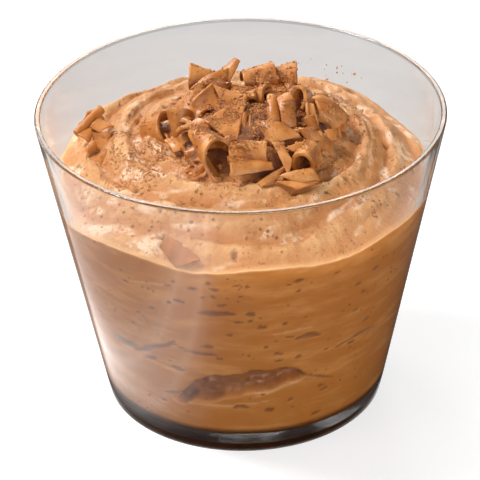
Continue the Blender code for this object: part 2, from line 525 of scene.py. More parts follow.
@dataclass
class Tumbler:
    """The clear tumbler: tapered wall, rounded rim, thick foot with a shallow recess."""

    height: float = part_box("tumbler")[1].z
    rim_radius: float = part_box("tumbler")[1].x
    foot_share: float = 30.8 / 45.0
    rim_wall: float = 1.3 * MM
    rim_round: float = 0.36 * MM
    foot_wall: float = 1.9 * MM
    heel: float = 1.6 * MM
    floor: float = 5.0 * MM
    corner: float = 2.6 * MM
    recess_radius: float = 25.5 * MM
    recess_depth: float = 0.7 * MM
    steps: int = 224
    arc_steps: int = 12
    wall_stops: tuple[float, ...] = (0.004, 0.02, 0.1, 0.3, 0.5, 0.7, 0.9, 0.98, 0.996)

    def outer(self, height: float) -> float:
        """Outside radius of the straight wall at a height."""
        foot = self.foot_share * self.rim_radius
        return foot + (self.rim_radius - foot) * height / self.height

    def inner(self, height: float) -> float:
        """Inside radius of the straight wall at a height."""
        return self.outer(height) - self.foot_wall - (self.rim_wall - self.foot_wall) * height / self.height

    def straight(self, first: tuple[float, float], last: tuple[float, float]) -> Profile:
        """Points along a straight stretch, close together at its ends so that curves next to it stay local.

        Args:
            first: the (radius, height) that the stretch starts from.
            last: the (radius, height) that it runs to.

        Returns:
            The points between the two.
        """
        return [tuple(a + (b - a) * stop for a, b in zip(first, last)) for stop in self.wall_stops]

    def profile(self) -> Profile:
        """The glass section, from under the foot, up the outside and down the inside.

        Returns:
            The section's (radius, height) points.
        """
        slope = math.degrees(math.atan2(self.rim_radius * (1 - self.foot_share), self.height))
        heel_middle = (self.outer(self.heel) - self.heel, self.heel)
        rim_outer = (self.rim_radius - self.rim_round, self.height - self.rim_round)
        rim_inner = (self.rim_radius - self.rim_wall + self.rim_round, self.height - self.rim_round)
        corner_height = self.floor + self.corner
        corner_middle = (self.inner(corner_height) - self.corner, corner_height)
        edge = self.recess_radius - 2 * self.recess_depth
        recess = [(0.0, self.recess_depth), (edge, self.recess_depth), (self.recess_radius, 0.0)]
        heel = arc(heel_middle, self.heel, -90, -slope, self.arc_steps)
        outer_edge = arc(rim_outer, self.rim_round, -slope, 90, self.arc_steps)
        inner_edge = arc(rim_inner, self.rim_round, 90, 180 - slope, self.arc_steps)
        rim = outer_edge + self.straight(outer_edge[-1], inner_edge[0]) + inner_edge
        corner = arc(corner_middle, self.corner, -slope, -90, self.arc_steps)
        floor = (0.0, self.floor)
        under = self.straight((0.0, self.recess_depth), recess[1])
        outside = self.straight(heel[-1], rim[0])
        inside = self.straight(rim[-1], corner[0])
        bottom = self.straight(corner[-1], floor)
        return recess[:1] + under + recess[1:] + heel + outside + rim + inside + corner + bottom + [floor]

    def build(self, finish: GlassFinish) -> bpy.types.Object:
        """Turns the tumbler.

        Args:
            finish: the glass.

        Returns:
            The tumbler's object.
        """
        bm = turned(self.profile(), self.steps)
        return add_piece("tumbler_glass", bm, finish.make(), ("tumbler",), sharp=35.0)


# ---------------------------------------------------------------- mousse


@dataclass(frozen=True)
class Hollow:
    """A hollow where the mousse stands back from the glass: an air pocket, or the cut end of a fold.

    Sizes are in mm, the angle and the tilt in degrees. The bow lifts the middle over the ends.
    """

    angle: float
    height: float
    length: float
    tall: float
    depth: float
    tilt: float = 0.0
    bow: float = 0.0
    ragged: float = 0.25

    def share(self, along: float, height: float, seed: float) -> float:
        """How far into the hollow a place on the side lies.

        Args:
            along: distance round the tumbler from the hollow's middle, in mm.
            height: height above the foot, in mm.
            seed: an offset into the noise that roughens its edge.

        Returns:
            A share from 0 at the edge to 1 in the middle.
        """
        reach = along / (self.length / 2)
        if abs(reach) >= 1:
            return 0.0
        middle = self.height + along * math.tan(math.radians(self.tilt)) + self.bow * (1 - reach**2)
        wobble = noise.noise(Vector((along / 5.5, seed, height / 9)))
        middle += self.ragged * self.tall * wobble
        width = 1 + 1.3 * self.ragged * noise.noise(Vector((along / 3.1, seed + 9, height / 5)))
        half = self.tall / 2 * math.sqrt(1 - reach**2) * width
        off = (height - middle) / max(half, 0.05)
        return max(0.0, 1 - off**4) if off > 0 else max(0.0, 1 - abs(off) ** 1.4)


FOLDS = (
    Hollow(-3, 17.9, 29, 6.2, 3.0, 13, 1.9, 0.4),
    Hollow(-24, 15.5, 10, 1.3, 0.9, 8, 0.0, 0.5),
    Hollow(27, 19.8, 9, 1.1, 0.9, -27, 0.0, 0.5),
    Hollow(-47, 25.4, 8, 2.0, 1.2, -8, 0.0, 0.6),
    Hollow(-34, 27.3, 11, 1.8, 1.2, 30, 0.3, 0.6),
    Hollow(-17, 29.6, 10, 1.0, 0.9, -6, -0.6, 0.5),
    Hollow(22, 31.9, 6, 1.4, 0.9, 0, 0.5, 0.5),
    Hollow(43, 26.9, 12, 0.8, 0.6, 2, 0.6, 0.5),
    Hollow(66, 24.8, 13, 0.6, 0, -11, 0.3, 0.5),
    Hollow(126, 31, 30, 3.6, 2.2, 5, 1.0, 0.5),
    Hollow(165, 20, 34, 4.2, 2.6, -4, 1.2, 0.5),
    Hollow(-150, 33, 22, 2.8, 1.8, 6, 0.8, 0.5),
    Hollow(-116, 19, 24, 3.2, 2.0, 3, 0.8, 0.5),
)
# These have no depth: each only paints a lighter highlight line along the side.
CREASE_HIGHLIGHTS = (
    Hollow(-32, 46.0, 13, 0.7, 0, 12, 0.4, 0.3),
    Hollow(-53, 38.8, 8, 0.6, 0, 2, 0.3, 0.3),
    Hollow(-9, 14.2, 20, 0.9, 0, 5, -0.4, 0.4),
    Hollow(12, 18.2, 11, 0.9, 0, 20, 0.0, 0.4),
    Hollow(-31, 22.4, 9, 0.6, 0, -6, 0.3, 0.4),
    Hollow(16, 34.6, 9, 0.6, 0, 3, 0.3, 0.4),
    Hollow(150, 40, 16, 0.7, 0, 8, 0.3, 0.4),
    Hollow(-120, 42, 14, 0.7, 0, -6, 0.3, 0.4),
)
POCKETS = (
    Hollow(-9, 40.7, 8.2, 1.7, 1.5, 0, 0.3),
    Hollow(2, 40.9, 1.8, 1.8, 1.3),
    Hollow(-21, 43.3, 2.6, 1.4, 1.1, -8),
    Hollow(-16, 47.4, 1.8, 0.9, 0.8),
    Hollow(-13, 45.3, 1.1, 0.9, 0.7),
    Hollow(-11, 49.4, 1.3, 0.9, 0.7),
    Hollow(-9, 47.5, 1.0, 1.0, 0.7),
    Hollow(-22, 48.7, 1.1, 0.9, 0.6),
    Hollow(-2, 38.5, 2.6, 0.9, 0.8),
    Hollow(-5, 34.9, 1.5, 1.0, 0.8),
    Hollow(-13, 31.0, 3.0, 1.2, 1.0, 6),
    Hollow(-9, 27.8, 1.7, 1.0, 0.9),
    Hollow(-25, 23.1, 3.2, 1.5, 1.1, -10),
    Hollow(7, 31.1, 1.2, 1.0, 0.8),
    Hollow(15, 33.3, 2.0, 0.8, 0.7),
    Hollow(13, 37.2, 1.3, 0.9, 0.7),
    Hollow(19, 27.0, 1.5, 1.1, 0.9),
    Hollow(11, 26.6, 1.3, 1.0, 0.8),
    Hollow(1, 48.8, 1.2, 0.8, 0.6),
    Hollow(14, 48.3, 1.3, 0.7, 0.6),
    Hollow(17, 46.2, 0.9, 0.8, 0.6),
    Hollow(39, 43.1, 1.5, 0.8, 0.7),
    Hollow(30, 48.7, 1.3, 0.7, 0.6),
    Hollow(-2, 13.2, 3.4, 1.5, 1.2, 0, 0.5),
    Hollow(9, 12.2, 2.0, 1.5, 1.0),
    Hollow(17, 14.5, 1.4, 1.2, 0.9),
    Hollow(29, 8.6, 2.6, 1.2, 0.9, 8),
    Hollow(31, 15.2, 2.2, 1.0, 0.8, 10),
    Hollow(-34, 12.4, 1.6, 1.0, 0.8),
    Hollow(40, 35.6, 1.6, 0.8, 0.7),
    Hollow(-37, 36.8, 1.3, 0.8, 0.6),
)


@dataclass
class Mousse:
    """The mousse: a drum under a spoon-swirled mound, with folds and air pockets where it meets the glass."""

    tumbler: Tumbler
    edge: float = 54.6 * MM
    edge_tilt: float = 1.9 * MM
    edge_wave: float = 0.6 * MM
    edge_dip: float = 2.4 * MM
    mound: float = 10.0 * MM
    flatness: float = 3.5
    swirl_height: float = 0.72 * MM
    swirl_pitch: float = 7.2 * MM
    wrinkle: float = 0.85 * MM
    lump: float = 0.42 * MM
    into_glass: float = 0.2 * MM
    loose_pockets: int = 170
    bare_sides: tuple[float, float] = (46.0, 84.0)
    top_pits: int = 60
    pit_reach: float = 38 * MM
    steps: int = 480
    side_rings: int = 112
    top_rings: int = 82
    seed: int = 7
    hollows: dict[int, list[tuple[Hollow, float]]] = field(default_factory=dict)
    pits: list[tuple[float, float, float, float]] = field(default_factory=list)

    def edge_height(self, angle: float) -> float:
        """Height of the mousse where it meets the glass.

        Args:
            angle: the angle from the front, in radians.

        Returns:
            The height above the foot.
        """
        wave = self.edge_wave * math.cos(8 * (angle - math.radians(8)))
        dips = bell(angle, math.radians(-68), math.radians(10)) * self.edge_dip
        ring = Vector((math.sin(angle), math.cos(angle), 0.0))
        ragged = 0.3 * MM * rough(ring, 0.16)
        return self.edge - self.edge_tilt * math.cos(angle) + wave - dips + ragged

    def swirl(self, x: float, y: float) -> float:
        """Height of the spoon-drawn ridges and of the finer wrinkles along them.

        Args:
            x: the place, to the right.
            y: the place, to the back.

        Returns:
            The height over the smooth mound.
        """
        angle = math.atan2(x, -y)
        radius = math.hypot(x, y)
        drift = 1.6 * noise.noise(Vector((x, y, 0.0)) / (17 * MM))
        phase = math.tau * radius / self.swirl_pitch + 2 * angle + drift
        start = min(1.0, max(0.0, (radius - 14 * MM) / (9 * MM)))
        end = max(0.0, 1 - (radius / (40.5 * MM)) ** 16)
        ridge = math.sin(phase + 0.5 * math.sin(phase))
        along = Vector((angle * 2.2, radius / (1.7 * MM) + 0.45 * drift, 3.0))
        wrinkle = self.wrinkle * (0.4 - abs(noise.noise(along)) + 0.5 * noise.noise(along * 2.3))
        folded = abs(rough(Vector((y, x, 0.05)), 7 * MM))
        lumps = self.lump * (rough(Vector((x, y, 0.02)), 5.5 * MM, 5) - 0.6 * folded)
        return self.swirl_height * start * end * ridge + end * (wrinkle + lumps)

    def from_heap(self, x: float, y: float) -> float:
        """How far a place is from the middle of the heap."""
        return math.hypot(x - HEAP_MIDDLE[0] * MM, y - HEAP_MIDDLE[1] * MM)

    def cream_and_sheen_share(self, x: float, y: float) -> float:
        """How creamy the top is at a place: smears drawn along the swirl, most at the left and the back,
        where they also stand for painted sheen.

        Args:
            x: the place, to the right.
            y: the place, to the back.

        Returns:
            A share from 0 to 1.
        """
        angle = math.atan2(x, -y)
        radius = math.hypot(x, y)
        along = Vector((angle * 3.0 + 5, radius / (3.2 * MM) + 2 * angle, 8.0))
        smear = noise.noise(along) + 0.6 * noise.noise(along * 2.1)
        at_left = 0.28 * bell(angle, math.radians(-55), math.radians(35))
        at_back = 0.32 * bell(angle, math.radians(125), 0.6)
        in_front = 0.12 * bell(angle, 0.1, 0.5)
        close = 0.3 * smooth_step(24 * MM, 17 * MM, self.from_heap(x, y))
        return smooth_step(0.14, 0.55, smear + at_left + at_back - in_front - close)

    def dustiness(self, x: float, y: float) -> float:
        """How much chocolate dust lies at a place: most of it round the heap and by the small group.

        Args:
            x: the place, to the right.
            y: the place, to the back.

        Returns:
            A share from 0 to 1.
        """
        place = Vector((x, y, 0.03))
        near_heap = smooth_step(27 * MM, 15 * MM, self.from_heap(x, y))
        near_group = smooth_step(13 * MM, 4 * MM, math.hypot(x + 27 * MM, y + 1 * MM))
        drifts = smooth_step(-0.25, 0.35, rough(place, 6 * MM))
        return max(near_heap, 0.8 * near_group, 0.12) * 0.75 * drifts

    def surface(self, x: float, y: float) -> float:
        """Height of the mousse's top at a place.

        Args:
            x: the place, to the right.
            y: the place, to the back.

        Returns:
            The height above the foot.
        """
        edge = self.edge_height(math.atan2(x, -y))
        share = min(1.0, math.hypot(x, y) / self.tumbler.inner(edge))
        mean_edge = self.edge + (edge - self.edge) * share**3
        return mean_edge + self.mound * (1 - share**self.flatness) + self.swirl(x, y)

    def scatter(self) -> None:
        """Sorts the hollows by the degrees they reach and adds the loose ones and the pits on top."""
        rng = random.Random(self.seed)
        loose = []
        for _ in range(self.loose_pockets):
            size = 0.55 + 1.1 * rng.random() ** 3
            height = rng.uniform(7.5, 50.0)
            angle = rng.uniform(-180, 180)
            length = size * rng.uniform(1.0, 1.9)
            if self.bare_sides[0] < abs(angle) < self.bare_sides[1]:
                continue
            tilt = rng.uniform(-12, 12)
            loose.append(Hollow(angle, height, length, size * 0.8, 0.45 + 0.45 * size, tilt))
        for number, hollow in enumerate((*FOLDS, *CREASE_HIGHLIGHTS, *POCKETS, *loose)):
            reach = math.degrees(hollow.length / 2 / 30) + 1
            for degree in range(math.floor(hollow.angle - reach), math.ceil(hollow.angle + reach) + 1):
                self.hollows.setdefault(degree % 360, []).append((hollow, 3.7 * number))
        for _ in range(self.top_pits):
            radius = self.pit_reach * math.sqrt(rng.uniform(0.05, 1.0))
            turn = rng.uniform(-math.pi, math.pi)
            size = (0.45 + 0.5 * rng.random() ** 2) * MM
            deep = size * rng.uniform(0.7, 1.1)
            self.pits.append((radius * math.sin(turn), -radius * math.cos(turn), size, deep))

    def side_hollow(self, angle: float, height: float) -> tuple[float, float, float]:
        """Reads the hollows at a place on the side.

        Args:
            angle: the angle from the front, in radians.
            height: the height above the foot.

        Returns:
            How far the mousse stands back there, then the shares of painted shade in a hollow and of painted
            highlight along a crease there. The last two run from 0 to 1.
        """
        degrees = math.degrees(angle)
        depth = 0.0
        dark = 0.0
        painted_highlight = 0.0
        for hollow, seed in self.hollows.get(round(degrees) % 360, ()):
            off = (degrees - hollow.angle + 180) % 360 - 180
            along = math.radians(off) * self.tumbler.inner(height) / MM
            share = hollow.share(along, height / MM, seed)
            inside = smooth_step(0.0, 0.75, share)
            if not hollow.depth:
                painted_highlight = max(painted_highlight, inside)
                continue
            uneven = 1 + 0.45 * noise.noise(Vector((along / 1.9, height / MM / 1.1, seed))) * inside
            deepest = hollow.depth if hollow.length > 20 else min(hollow.depth, 0.9 * self.into_glass / MM)
            depth = max(depth, min(deepest, hollow.depth * inside * uneven))
            dark = max(dark, inside)
        return depth * MM, dark, painted_highlight * (1 - dark)

    def top_pit(self, x: float, y: float) -> tuple[float, float]:
        """Depth of the pits on the top at a place, and their share from 0 to 1.

        Args:
            x: the place, to the right.
            y: the place, to the back.

        Returns:
            The depth and the share.
        """
        depth = 0.0
        share = 0.0
        for px, py, size, deep in self.pits:
            if abs(x - px) < size and abs(y - py) < size:
                inside = max(0.0, 1 - ((x - px) ** 2 + (y - py) ** 2) / size**2)
                depth = max(depth, deep * inside)
                share = max(share, inside)
        return depth, share

    def profile(self) -> Profile:
        """The unit drum's section: floor, corner, side and top.

        Returns:
            (share of the radius, level) points; the level is 0 on the floor and 1 at the edge.
        """
        bottom = [(0.0, 0.0), (0.3, 0.0), (0.6, 0.0), (0.8, 0.0), (0.9, 0.0), (0.96, 0.004), (0.985, 0.02)]
        side = [(1.0, 0.04 + 0.96 * i / self.side_rings) for i in range(self.side_rings)]
        top = [(1 - i / self.top_rings, 1.0) for i in range(self.top_rings + 1)]
        return bottom + side + top

    def build(self, finish: MousseFinish) -> bpy.types.Object:
        """Shapes the mousse.

        Args:
            finish: its material.

        Returns:
            The mousse's object.
        """
        self.scatter()
        bm = turned(self.profile(), self.steps)
        names = ("wall", "pocket_shade", "lip_painted_highlight", "crest_painted_light", "cream_and_sheen", "dust")
        wall, pocket_shade, lip_painted_highlight, crest_painted_light, cream_and_sheen, dust = [bm.verts.layers.float.new(name) for name in names]
        base = self.tumbler.floor - self.into_glass
        for vert in bm.verts:
            share = vert.co.xy.length
            level = vert.co.z
            angle = math.atan2(vert.co.x, -vert.co.y)
            edge = self.edge_height(angle)
            height = base + level * (edge - base)
            radius = share * (self.tumbler.inner(height) + self.into_glass)
            x, y = radius * math.sin(angle), -radius * math.cos(angle)
            if level > 1 - TINY:
                # Painted shade: pits on the top are darkened.
                pit, vert[pocket_shade] = self.top_pit(x, y)
                height = self.surface(x, y) - pit * (1 - share**12)
                # Painted light: the swirl's crests are painted lighter and its valleys darker.
                vert[crest_painted_light] = smooth_step(-0.9 * MM, 1.1 * MM, self.swirl(x, y))
                vert[cream_and_sheen] = self.cream_and_sheen_share(x, y)
                vert[dust] = self.dustiness(x, y)
                # Painted highlight: a lighter ring on the top next to the glass.
                vert[wall] = smooth_step(0.982, 1.0, share)
                vert[lip_painted_highlight] = smooth_step(0.982, 0.994, share)
            else:
                vert[wall] = 1.0
                # Painted shade: the floor and the lowest corner, which lie under the mousse, are darkened.
                vert[pocket_shade] = smooth_step(0.055, 0.02, level)
                # Painted highlight: a lighter band on the side just under the edge.
                vert[lip_painted_highlight] = smooth_step(0.60 * MM, 0.20 * MM, edge - height)
                if share > 1 - TINY:
                    back, hollow_shade, crease_highlight = self.side_hollow(angle, height)
                    # Painted shade in the hollows, and painted highlight along the creases.
                    vert[pocket_shade] = max(vert[pocket_shade], 0.85 * hollow_shade)
                    vert[lip_painted_highlight] = max(vert[lip_painted_highlight], 0.6 * crease_highlight)
                    x, y = (radius - back) * math.sin(angle), -(radius - back) * math.cos(angle)
            vert.co = Vector((x, y, height))
        return add_piece("mousse_body", bm, finish.make(), ("mousse",), sharp=89.0)


# ---------------------------------------------------------------- curls


@dataclass
class Sheet:
    """A thin bent sheet of chocolate. Lengths are in mm, from the middle of the tumbler's foot."""

    thickness: float = field(default=0.75, kw_only=True)
    rows: int = field(default=12, kw_only=True)
    columns: int = field(default=14, kw_only=True)
    ragged: float = field(default=0.22, kw_only=True)
    ripple: float = field(default=0.14, kw_only=True)
    edge_round: float = field(default=0.24, kw_only=True)

    def point(self, u: float, v: float) -> Vector:
        """A point of the sheet's middle, with u across and v along it, both from 0 to 1."""
        raise NotImplementedError

    def pull_in(self, bm: bmesh.types.BMesh, middle: KDTree) -> None:
        """Pulls the points that lie too far from the sheet's middle back to its thickness.

        Args:
            bm: the sheet's mesh.
            middle: the points of its middle.
        """
        for vert in bm.verts:
            near, _, gap = middle.find(vert.co)
            if gap > 1.15 * self.thickness * MM:
                vert.co = near.lerp(vert.co, self.thickness * MM / gap)

    def add_to(self, target: bmesh.types.BMesh, seed: float) -> None:
        """Adds the finished sheet to a mesh.

        Args:
            target: the mesh it joins.
            seed: an offset into the noise that roughens it.
        """
        bm = bmesh.new()
        uv = bm.loops.layers.uv.new("UVMap")
        bmesh.ops.create_grid(bm, x_segments=self.columns, y_segments=self.rows, size=0.5, calc_uvs=True)
        for face in bm.faces:
            for loop in face.loops:
                loop[uv].uv = (loop.vert.co.x + seed, loop.vert.co.y)
        offset = Vector((seed * 3.1, seed * 1.7, seed))
        for vert in bm.verts:
            u, v = vert.co.x + 0.5, vert.co.y + 0.5
            rim_u = min(u, 1 - u) * self.columns
            rim_v = min(v, 1 - v) * self.rows
            fray = self.ragged * noise.noise(Vector((u * 5, v * 5, seed)))
            fine = self.ragged * 0.5 * noise.noise(Vector((u * 14, v * 14, seed + 5)))
            step = 0.12 * (fray + fine)
            u += step if rim_u < 0.5 else 0.0
            v += step if rim_v < 0.5 else 0.0
            place = self.point(u, v)
            place += self.ripple * noise.noise_vector(place / 3.5 + offset)
            vert.co = place * MM
        bm.normal_update()
        middle = KDTree(len(bm.verts))
        for number, vert in enumerate(bm.verts):
            middle.insert(vert.co, number)
        middle.balance()
        bmesh.ops.solidify(bm, geom=bm.faces, thickness=self.thickness * MM)
        self.pull_in(bm, middle)
        bm.normal_update()
        rim = [e for e in bm.edges if e.is_manifold and e.calc_face_angle(0.0) > math.radians(50)]
        width = self.edge_round * self.thickness * MM
        bmesh.ops.bevel(bm, geom=rim, offset=width, segments=2, profile=0.5, affect="EDGES", material=-1)
        self.pull_in(bm, middle)
        bmesh.ops.recalc_face_normals(bm, faces=bm.faces)
        mesh = bpy.data.meshes.new("sheet")
        bm.to_mesh(mesh)
        bm.free()
        target.from_mesh(mesh)
        bpy.data.meshes.remove(mesh)


@dataclass
class Leaf(Sheet):
    """A sheet between four corners, bulged by its belly and arched across."""

    a: Point
    b: Point
    c: Point
    d: Point
    belly: float = 0.5
    arch: float = 0.0

    def point(self, u: float, v: float) -> Vector:
        """A point between the corners a, b (v = 0) and d, c (v = 1).

        Args:
            u: the place across the sheet, from 0 to 1.
            v: the place along it, from 0 to 1.

        Returns:
            The point, in mm.
        """
        a, b, c, d = (Vector(p) for p in (self.a, self.b, self.c, self.d))
        flat = (a.lerp(b, u)).lerp(d.lerp(c, u), v)
        out = (c - a).cross(d - b)
        out = out.normalized() if out.length > TINY else Vector((0, 0, 1))
        if out.dot(Vector((0.0, -0.86, 0.51))) < 0:
            out.negate()
        return flat + out * (self.belly * 4 * u * (1 - u) + self.arch * 4 * v * (1 - v))


@dataclass
class Roll(Sheet):
    """A sheet rolled round a line, from its tight tip to its open mouth.

    Angles are in degrees round the line, from its upper side to the right for whoever looks into the mouth.
    """

    tip: Point
    mouth: Point
    tip_radius: float = 0.6
    mouth_radius: float = 2.5
    start: float = -150.0
    end: float = 120.0
    slant: float = 0.0
    fold: float = 0.0
    squash: float = 1.0
    spiral: float = 0.0

    def point(self, u: float, v: float) -> Vector:
        """A point round the line at u and along it at v.

        Args:
            u: the place across the sheet, from 0 to 1.
            v: the place along it, from 0 to 1.

        Returns:
            The point, in mm.
        """
        tip, mouth = Vector(self.tip), Vector(self.mouth)
        along = (mouth - tip).normalized()
        side = Vector((0, 0, 1)).cross(along)
        side = side.normalized() if side.length > 0.05 else Vector((1, 0, 0))
        up = along.cross(side)
        turn = math.radians(self.start + (self.end - self.start) * u)
        radius = self.tip_radius + (self.mouth_radius - self.tip_radius) * v
        radius *= 1 - self.spiral * u
        cos, sin = math.cos(turn), math.sin(turn)
        radius *= 1 + self.fold * (1 / (abs(cos) + abs(sin)) - 1)
        place = tip.lerp(mouth, v) - along * (self.slant * self.mouth_radius * cos * v)
        return place + up * (radius * cos) + side * (radius * self.squash * sin)


def build_sheets(
    name: str, sheets: Sequence[Sheet], material: Material, nodes: tuple[str, ...]
) -> bpy.types.Object:
    """Joins sheets into one piece.

    Args:
        name: the piece's name.
        sheets: what it is made of.
        material: its finish.
        nodes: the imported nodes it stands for.

    Returns:
        The piece.
    """
    bm = bmesh.new()
    for number, sheet in enumerate(sheets):
        sheet.add_to(bm, number * 1.37 + len(name))
    return add_piece(name, bm, material, nodes, sharp=80.0)


# The curls placed one by one, from the back to the front.
HEAP_LEAVES = (
    Leaf((-11.2, 8.0, 70.5), (-3.5, 8.2, 70.0), (-2.5, 11.5, 74.0), (-8.2, 10.0, 72.4), 0.6, 0.5),
    Leaf((-15.4, 6.3, 66.5), (-11.3, 1.8, 66.6), (-9.2, 6.1, 70.3), (-11.2, 7.3, 70.6), 0.5),
    Leaf((-10.4, 1.2, 71.0), (-10.8, -1.3, 68.0), (-3.9, -0.4, 69.5), (-6.0, 4.8, 73.6), -1.0, 0.4),
    Leaf((-6.0, 4.6, 73.5), (-3.5, 0.4, 69.3), (0.2, 0.4, 70.8), (0.6, 1.8, 72.2), 0.3),
    Leaf((-7.9, -7.2, 71.0), (-1.6, -13.8, 68.4), (-0.8, -13.0, 69.0), (1.6, -0.3, 73.6), 0.3, thickness=0.9),
    Leaf((-10.9, -5.4, 69.5), (-6.4, -7.6, 68.8), (-6.5, -6.6, 70.3), (-9.4, -4.6, 70.3), 0.3),
    Leaf(
        (-12.4, -6.2, 69.2), (-8.4, -9.9, 68.6), (-8.2, -9.0, 69.4), (-11.2, -4.2, 69.7), 0.2, thickness=0.9
    ),
    Leaf((-11.6, -19.0, 64.3), (-9.8, -19.8, 63.8), (-7.2, -17.8, 64.6), (-7.6, -16.0, 66.2), 0.5),
    Leaf((3.2, -9.0, 71.0), (8.8, -10.2, 70.9), (12.7, -12.0, 68.6), (6.4, -14.0, 68.0), 0.9, 0.5),
    Leaf((12.5, -9.4, 70.0), (15.2, -9.4, 69.6), (17.6, -10.4, 66.8), (14.6, -10.9, 67.2), 0.6),
    Leaf((0.4, -6.0, 71.9), (1.6, -6.2, 71.9), (1.0, -11.3, 67.3), (-1.0, -9.9, 68.0), -0.4),
    Leaf((1.8, -6.4, 71.4), (3.4, -9.4, 70.0), (3.8, -11.8, 67.6), (1.0, -12.6, 66.9), -0.6),
    Leaf((6.2, -1.4, 73.2), (7.4, -1.6, 73.0), (8.1, -8.3, 69.0), (6.1, -8.0, 69.2), 0.5, 1.2),
    Leaf((8.0, -2.7, 73.0), (10.6, -1.2, 73.6), (11.6, -7.6, 69.0), (9.0, -8.2, 69.0), 0.5, 1.5),
    Leaf((13.9, -1.6, 71.6), (16.1, -1.2, 71.1), (17.0, -4.6, 68.0), (14.4, -6.0, 68.0), -0.5),
    Leaf((16.0, 0.4, 70.8), (23.6, 1.0, 66.4), (20.0, -1.9, 65.4), (17.0, -1.6, 67.3), 0.4, 0.9),
    Leaf((15.0, 1.5, 71.2), (16.4, 0.5, 70.8), (23.8, 1.0, 66.6), (18.4, 5.6, 69.6), 0.5, 0.6),
    Leaf((13.4, -5.0, 69.6), (15.4, -4.6, 70.2), (16.8, -6.2, 67.2), (14.4, -6.8, 67.6), 0.6),
    Leaf(
        (7.0, -15.2, 69.6), (8.6, -16.0, 69.2), (10.9, -19.3, 67.0), (10.2, -21.6, 64.6), 0.2, thickness=0.9
    ),
    Leaf((6.8, -21.9, 63.8), (13.2, -22.6, 63.8), (16.4, -22.2, 63.1), (11.8, -24.2, 62.6), 0.4),
    Leaf((7.8, -21.6, 64.7), (14.8, -20.6, 65.6), (16.6, -21.8, 63.6), (12.4, -22.6, 63.9), 0.7, 0.4),
    Leaf((3.4, -22.6, 63.8), (9.4, -19.2, 66.2), (6.6, -21.6, 63.7), (4.3, -23.4, 63.1), 0.4),
    Leaf((9.4, -15.2, 68.0), (15.4, -12.5, 68.1), (16.2, -13.9, 67.0), (12.2, -15.8, 66.8), 0.6),
    Leaf((15.0, -12.9, 67.6), (16.6, -12.0, 67.5), (17.7, -14.8, 64.3), (16.0, -17.8, 64.0), -0.5),
    Leaf((18.2, -5.8, 66.8), (20.4, -5.0, 66.6), (20.2, -7.6, 65.0), (18.4, -8.2, 65.0), 0.4),
    Leaf((6.6, 11.8, 72.2), (9.4, 11.4, 70.6), (12.0, 12.6, 69.6), (12.5, 13.4, 74.0), 0.7),
    Leaf((-17.0, -6.0, 65.6), (-14.6, -10.4, 64.6), (-11.8, -9.8, 64.8), (-13.0, -6.0, 66.0), 0.7, 0.5),
)
HEAP_ROLLS = (
    Roll((-4.6, 12.6, 70.4), (-11.0, 13.6, 70.2), 0.7, 3.3, -112, 112, fold=0.85),
    Roll((-0.2, 13.9, 74.2), (-3.2, 11.6, 70.4), 0.45, 1.9, -150, 70, columns=16),
    Roll((0.6, 11.0, 70.6), (7.8, 12.6, 70.9), 1.6, 2.6, -120, 120),
    Roll((6.6, 12.4, 71.0), (12.4, 13.0, 70.4), 1.0, 3.3, -100, 110, fold=0.8),
    Roll((-20.4, 2.4, 63.2), (-15.2, -0.8, 65.4), 2.2, 3.5, -150, 70, columns=18, slant=0.25),
    Roll((-9.6, -5.4, 67.2), (-11.6, -10.2, 67.0), 1.2, 3.0, -60, 175, columns=20, slant=0.3),
    Roll((-13.8, -2.8, 64.4), (-13.2, 1.2, 69.0), 0.4, 2.4, -110, 150, columns=18),
    Roll((-10.0, -9.4, 69.4), (-4.2, -18.8, 66.8), 0.9, 3.4, -170, 170, slant=0.9, columns=28, rows=16),
    Roll((-2.4, -15.4, 66.8), (5.6, -15.8, 67.2), 2.1, 2.0, -230, 20, columns=20, thickness=0.85),
    Roll((6.4, -18.8, 65.2), (-2.8, -20.0, 64.9), 0.6, 2.7, -100, 75, columns=18, thickness=0.9),
    Roll(
        (15.0, -13.0, 66.4), (13.0, -18.8, 66.0), 1.6, 2.1, -140, 150, columns=22, thickness=0.9, squash=0.85
    ),
    Roll((14.4, 5.0, 68.4), (12.4, 0.4, 71.6), 1.7, 2.3, -175, 140, columns=24, squash=0.6, thickness=0.85),
    Roll((2.6, 5.6, 69.4), (6.6, 3.2, 71.0), 1.0, 2.2, -130, 60),
    Roll((19.0, -9.0, 64.0), (15.6, -9.4, 66.4), 1.2, 2.0, -140, 90),
)
GROUP_CURLS = (
    Leaf((-36.1, 8.6, 62.2), (-33.9, 7.9, 65.6), (-31.3, 8.7, 65.8), (-32.4, 9.5, 62.6), 0.6, thickness=0.6),
    Roll((-36.3, 2.9, 62.7), (-30.7, 9.0, 65.5), 0.35, 0.55, -150, 200, columns=12, thickness=0.55),
    Leaf((-36.2, 2.9, 62.4), (-31.0, 8.8, 64.9), (-29.6, 7.4, 62.0), (-34.4, 3.2, 61.0), -0.5, thickness=0.6),
    Leaf((-36.3, 2.6, 62.9), (-33.0, 0.6, 61.5), (-32.4, 2.8, 62.5), (-33.2, 4.8, 63.5), 0.5, thickness=0.6),
    Leaf(
        (-32.7, 2.8, 62.9), (-32.4, 0.2, 61.1), (-29.8, -1.6, 60.4), (-28.4, 3.2, 62.6), -0.7, thickness=0.6
    ),
    Leaf((-33.2, 4.4, 63.4), (-31.4, 6.8, 63.9), (-28.0, 4.9, 62.8), (-31.0, 3.6, 62.6), 0.6, thickness=0.55),
    Leaf(
        (-34.1, -3.4, 60.2), (-33.7, -1.9, 60.9), (-32.2, 0.4, 61.7), (-32.0, -0.8, 61.1), 0.3, thickness=0.9
    ),
    Leaf(
        (-33.6, -4.4, 59.8), (-31.0, -6.4, 59.5), (-26.8, -2.4, 61.0), (-28.0, -0.6, 61.9), 0.5, thickness=0.6
    ),
)


